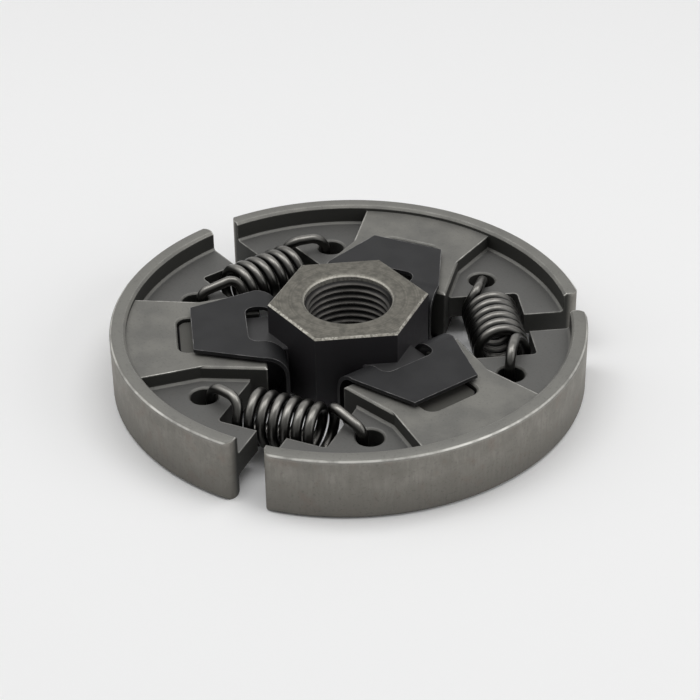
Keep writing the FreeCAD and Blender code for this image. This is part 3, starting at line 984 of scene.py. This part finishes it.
@dataclass
class ReturnSpring:
    """One extension spring across the gap between two shoes, drawn in round wire."""

    number: int
    wire: float = 1.4 * MM
    coil: float = 3.2 * MM
    length: float = 11.2 * MM
    turns: float = 7.0
    reach: float = 20.4 * MM
    middle: float = 4.9 * MM
    outer_angle: float = 30.0
    inner_angle: float = 150.0
    outer_arch: float = 8.3 * MM
    outer_bend: float = 2.3 * MM
    inner_run: float = 2.2 * MM
    inner_top: float = 6.9 * MM
    inner_bend: float = 1.5 * MM
    hook_spread: float = 10.82 * MM
    hook_tail: float = 1.7 * MM
    turn_steps: int = 44
    bend_steps: int = 12

    @property
    def sweep(self) -> float:
        """Angle that the coil turns through, in radians."""
        return math.radians(360.0 * self.turns - self.inner_angle + self.outer_angle)

    def coil_point(self, share: float) -> Vector:
        """A point of the coil in the gap's frame.

        Args:
            share: From 0 at the inner hook to 1 at the outer hook.

        Returns:
            The point, with X along the gap and the coil's axis along Y.
        """
        angle = math.radians(self.inner_angle) + self.sweep * share
        out = self.reach + self.coil * math.cos(angle)
        height = self.middle + self.coil * math.sin(angle)
        return Vector((out, self.length * (0.5 - share), height))

    def coil_heading(self, share: float) -> Vector:
        """Direction of the wire at a point of the coil.

        Args:
            share: From 0 at the inner hook to 1 at the outer hook.

        Returns:
            The direction towards the outer hook, of length 1.
        """
        angle = math.radians(self.inner_angle) + self.sweep * share
        slope = self.length / self.sweep / self.coil
        return Vector((-math.sin(angle), -slope, math.cos(angle))).normalized()

    def coil_run(self, start: float, end: float) -> list[Vector]:
        """Points of the coil between two shares of it, both included."""
        steps = round(self.turn_steps * self.sweep * (end - start) / (2 * math.pi))
        return [self.coil_point(start + (end - start) * step / steps) for step in range(steps + 1)]

    def outer_path(self) -> list[Vector]:
        """The wire from the coil's middle to the end of the outer hook.

        Returns:
            Points of its middle line.
        """
        start = self.coil_point(1.0)
        heading = self.coil_heading(1.0)
        corners = [
            start,
            start + heading * ((self.outer_arch - start.z) / heading.z),
            Vector((self.reach, -self.hook_spread, self.outer_arch)),
            Vector((self.reach, -self.hook_spread, self.hook_tail)),
        ]
        hook = rounded_path(corners, self.outer_bend, self.bend_steps)
        return self.coil_run(0.5, 1.0) + hook[1:]

    def inner_path(self) -> list[Vector]:
        """The wire from the coil's middle to the end of the inner hook.

        Returns:
            Points of its middle line.
        """
        start = self.coil_point(0.0)
        corners = [
            start,
            start - self.coil_heading(0.0) * self.inner_run,
            Vector((self.reach, self.hook_spread, self.inner_top)),
            Vector((self.reach, self.hook_spread, self.hook_tail)),
        ]
        hook = rounded_path(corners, self.inner_bend, self.bend_steps)
        return self.coil_run(0.0, 0.5)[::-1] + hook[1:]

    def build(self, material: bpy.types.Material) -> list[bpy.types.Object]:
        """Makes both halves.

        Args:
            material: The wire's finish.

        Returns:
            The outer and the inner half.
        """
        return [
            self.build_half(Half.OUTER, self.outer_path(), material),
            self.build_half(Half.INNER, self.inner_path(), material),
        ]

    def build_half(
        self, half: Half, path: Sequence[Vector], material: bpy.types.Material
    ) -> bpy.types.Object:
        """Makes one half, from the coil's middle to one hook.

        Args:
            half: Which half it is.
            path: Its middle line in the gap's frame.
            material: The wire's finish.

        Returns:
            The half.
        """
        turn = about_axis(SHOE_STEP * (self.number - 0.5))
        name = f"spring_{self.number}_{half.name.lower()}_half"
        piece = put_form(name, WireTube(self.wire / 2).form(path))
        piece.data.transform(turn)
        dress(piece, material)
        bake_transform(piece)
        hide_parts(f"spring_{self.number}")
        return piece


@dataclass
class CrankThread:
    """The left-hand thread in the hub's bore."""

    root: float = 5.97 * MM
    crest: float = 5.46 * MM
    pitch: float = 1.0 * MM
    crest_width: float = 0.14 * MM
    low: float = 0.7 * MM
    high: float = 11.8 * MM
    run_out: float = 0.5
    least_ridge: float = 0.02
    steps: int = 72

    @property
    def turns(self) -> float:
        """How often the ridge goes round."""
        return (self.high - self.low) / self.pitch - 1.0

    def section(self, turn: float) -> list[Point]:
        """Corners of the ridge's section, which fades at both ends of the thread.

        Args:
            turn: How far along the thread, in turns.

        Returns:
            The corners from the lower root over the crest to the upper root.
        """
        angle = -2 * math.pi * turn
        fade = min(1.0, turn / self.run_out, (self.turns - turn) / self.run_out)
        crest = self.root + (self.crest - self.root) * max(fade, self.least_ridge)
        middle = self.low + self.pitch * (turn + 0.5)
        profile = (
            (self.root, middle - self.pitch / 2),
            (crest, middle - self.crest_width / 2),
            (crest, middle + self.crest_width / 2),
            (self.root, middle + self.pitch / 2),
        )
        cosine, sine = math.cos(angle), math.sin(angle)
        return [(radius * cosine, radius * sine, height) for radius, height in profile]

    def build(self, material: bpy.types.Material) -> bpy.types.Object:
        """Makes the ridge, which rides on the carrier.

        Args:
            material: The thread's finish.

        Returns:
            The thread.
        """
        form = bmesh.new()
        before: list[bmesh.types.BMVert] = []
        for index in range(round(self.turns * self.steps) + 1):
            now = [form.verts.new(corner) for corner in self.section(index / self.steps)]
            for side in range(len(before) - 1):
                form.faces.new((before[side], before[side + 1], now[side + 1], now[side]))
            before = now
        bmesh.ops.recalc_face_normals(form, faces=form.faces)
        piece = put_form("crank_thread", form)
        dress(piece, material)
        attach(piece, "carrier")
        return piece


@dataclass
class Clutch:
    """The whole clutch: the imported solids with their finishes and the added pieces."""

    nodes: dict[str, bpy.types.Object]

    def build(self) -> list[bpy.types.Object]:
        """Dresses the carrier, the shoes and the retainers, and makes the thread and the springs.

        Returns:
            Every piece that shows.
        """
        carrier = self.nodes["carrier"]
        dress(carrier, HubFinish().material())
        shoe_iron = ShoeFinish().material()
        retainer_steel = RetainerFinish().material()
        spring_steel = SpringFinish().material()
        pieces = [carrier, CrankThread().build(ThreadFinish().material())]
        for number in range(1, SHOES + 1):
            shoe = self.nodes[f"shoe_{number}"]
            retainer = self.nodes[f"retainer_{number}"]
            dress(shoe, shoe_iron)
            dress(retainer, retainer_steel)
            pieces += [shoe, retainer, *ReturnSpring(number).build(spring_steel)]
        return pieces


@dataclass(frozen=True)
class SoftLamp:
    """A square soft lamp.

    Attributes:
        name: Of the lamp.
        power: In watts.
        size: Length of its side, in metres.
        place: Where it hangs, as the camera sees it: right, away and up, in metres.
    """

    name: str
    power: float
    size: float
    place: Point

    def hang(self, azimuth: float) -> None:
        """Hangs the lamp, looking at the clutch.

        Args:
            azimuth: Direction that the camera looks in, in degrees.
        """
        data = bpy.data.lights.new(self.name, "AREA")
        data.energy = self.power
        data.size = self.size
        lamp = put(self.name, data)
        lamp.location = about_axis(azimuth) @ Vector(self.place)
        lamp.rotation_euler = (-lamp.location).to_track_quat("-Z", "Y").to_euler()


@dataclass
class Studio:
    """Pale floor, soft light and the camera at the photograph's angle."""

    floor_size: float = 6.0
    floor_drop: float = 0.02 * MM
    light: Colour = (1.0, 1.0, 1.0)
    backdrop: float = 0.86
    world_light: float = 0.28
    lamps: tuple[SoftLamp, ...] = (
        SoftLamp("left", 0.90, 0.32, (-0.18, 0.03, 0.53)),
        SoftLamp("right", 0.82, 0.32, (0.17, 0.04, 0.53)),
        SoftLamp("right_side", 1.00, 0.4, (0.50, -0.20, 0.26)),
        SoftLamp("left_side", 0.44, 0.4, (-0.46, 0.05, 0.32)),
    )
    azimuth: float = 53.97
    elevation: float = 33.99
    distance: float = 295.45 * MM
    target: tuple[float, float] = (0.1415 * MM, 5.529 * MM)
    roll: float = 0.80
    lens: float = 107.95
    sensor: float = 36.0
    clip: tuple[float, float] = (0.01, 50.0)

    def build(self) -> None:
        """Makes the floor, the light and the camera."""
        self.floor()
        self.world()
        for lamp in self.lamps:
            lamp.hang(self.azimuth)
        self.camera()

    def floor(self) -> None:
        """A wide plane under the clutch."""
        form = bmesh.new()
        bmesh.ops.create_grid(form, x_segments=1, y_segments=1, size=self.floor_size / 2)
        floor = put_form("floor", form)
        floor.location.z = -self.floor_drop
        dress(floor, FloorFinish().material())

    def world(self) -> None:
        """Even light all round, seen as the pale backdrop."""
        world = bpy.data.worlds.new("studio")
        bpy.context.scene.world = world
        world.use_nodes = True
        graph = Graph(world.node_tree)
        strength = graph.background_rays().between(self.world_light, self.backdrop)
        values = {"Color": (*self.light, 1.0), "Strength": strength}
        background = graph.node("ShaderNodeBackground", None, values)
        graph.node("ShaderNodeOutputWorld", None, {"Surface": background})

    def camera(self) -> None:
        """The camera, turned slightly about its own axis as the photograph is."""
        data = bpy.data.cameras.new("camera")
        data.lens = self.lens
        data.sensor_width = self.sensor
        data.clip_start, data.clip_end = self.clip
        turn = about_axis(self.azimuth)
        lift = math.radians(self.elevation)
        back = turn @ Vector((0.0, -math.cos(lift), math.sin(lift)))
        right = turn @ Vector((1.0, 0.0, 0.0))
        up = back.cross(right)
        cosine, sine = math.cos(math.radians(self.roll)), math.sin(math.radians(self.roll))
        rolled_right = right * cosine - up * sine
        rolled_up = right * sine + up * cosine
        facing = Matrix((rolled_right, rolled_up, back)).transposed().to_4x4()
        spot = turn @ Vector((*self.target, 0.0)) + back * self.distance
        camera = put("camera", data)
        camera.matrix_world = Matrix.Translation(spot) @ facing
        bpy.context.scene.camera = camera


def main() -> None:
    """Builds the clutch and its studio and reports each piece."""
    logging.basicConfig(level=logging.INFO, format="%(message)s")
    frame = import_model()
    for piece in Clutch(frame["nodes"]).build():
        LOG.info("%s: %d faces", piece.name, len(piece.data.polygons))
    Studio().build()
    bpy.context.scene.view_settings.view_transform = "Standard"


if __name__ == "__main__":
    main()
